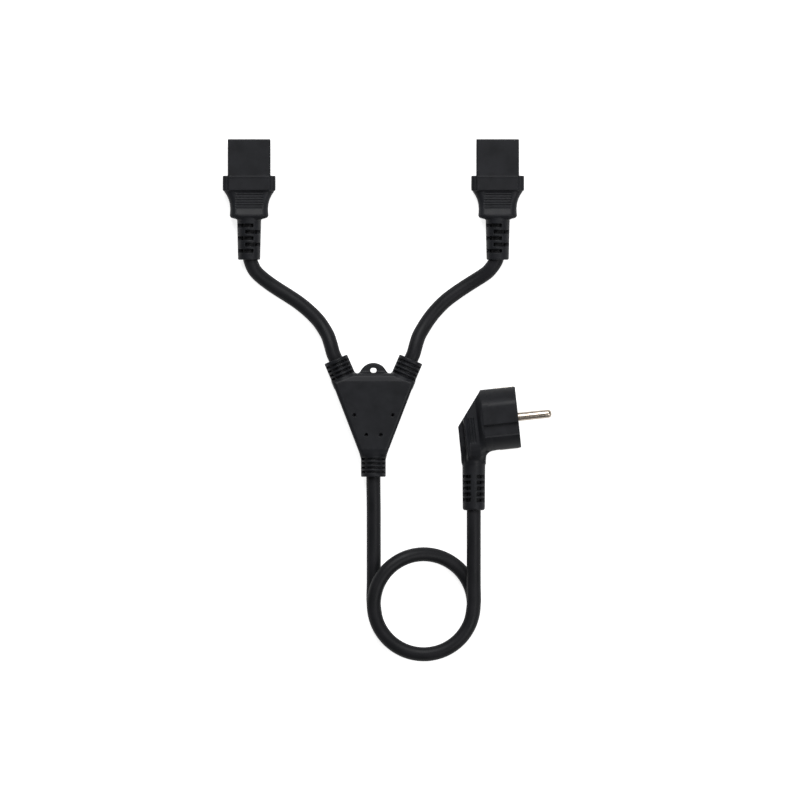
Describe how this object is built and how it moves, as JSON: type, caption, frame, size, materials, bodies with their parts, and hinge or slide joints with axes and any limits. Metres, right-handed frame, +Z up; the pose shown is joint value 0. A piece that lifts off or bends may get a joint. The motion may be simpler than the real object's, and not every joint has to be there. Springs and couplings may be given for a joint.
{
  "type": "power cord splitter",
  "caption": "Black power cord splitter: an angled two-pin earthed mains plug, a moulded Y-joint with a hang tab, and two branch cords with three-pole appliance connectors.",
  "frame": {"origin": "on the surface it lies on, under the middle of the Y-joint's moulding, which is the box of every piece that isn't a cord or on the end of one", "axes": "+X to the side of the plug, across the Y-joint, +Y along the Y-joint from the main cord to the hang tab and the two connectors, +Z up from the surface it lies on"},
  "size_m": [0.186, 0.2949, 0.0332],
  "materials": {
    "soft_pvc": "satin moulded, fine grain",
    "cord_pvc": "satin extruded",
    "hard_plastic": "matt moulded",
    "carrier_plastic": "matt moulded",
    "nickel": "nickel plated brass",
    "brass": "stamped",
    "tinned_copper": "tinned",
    "brown_pvc": "smooth insulation",
    "blue_pvc": "smooth insulation",
    "green_yellow_pvc": "smooth insulation"
  },
  "bodies": {
    "root": {"joint_moulding": "soft_pvc", "joint_carrier": "carrier_plastic", "joint_live_sleeve": "tinned_copper", "joint_neutral_sleeve": "tinned_copper", "joint_earth_sleeve": "tinned_copper", "joint_main_live_core": "brown_pvc", "joint_main_neutral_core": "blue_pvc", "joint_main_earth_core": "green_yellow_pvc", "joint_left_live_core": "brown_pvc", "joint_left_neutral_core": "blue_pvc", "joint_left_earth_core": "green_yellow_pvc", "joint_right_live_core": "brown_pvc", "joint_right_neutral_core": "blue_pvc", "joint_right_earth_core": "green_yellow_pvc", "left_connector_moulding": "soft_pvc", "left_connector_insert": "hard_plastic", "left_live_contact": "brass", "left_neutral_contact": "brass", "left_earth_contact": "brass", "left_live_core": "brown_pvc", "left_neutral_core": "blue_pvc", "left_earth_core": "green_yellow_pvc", "right_connector_moulding": "soft_pvc", "right_connector_insert": "hard_plastic", "right_live_contact": "brass", "right_neutral_contact": "brass", "right_earth_contact": "brass", "right_live_core": "brown_pvc", "right_neutral_core": "blue_pvc", "right_earth_core": "green_yellow_pvc", "plug_moulding": "soft_pvc", "plug_bridge": "hard_plastic", "live_pin": "nickel", "neutral_pin": "nickel", "earth_strap": "nickel", "earth_socket": "brass", "plug_live_core": "brown_pvc", "plug_neutral_core": "blue_pvc", "plug_earth_core": "green_yellow_pvc", "main_cord": "cord_pvc", "left_branch_cord": "cord_pvc", "right_branch_cord": "cord_pvc"}
  },
  "joints": []
}
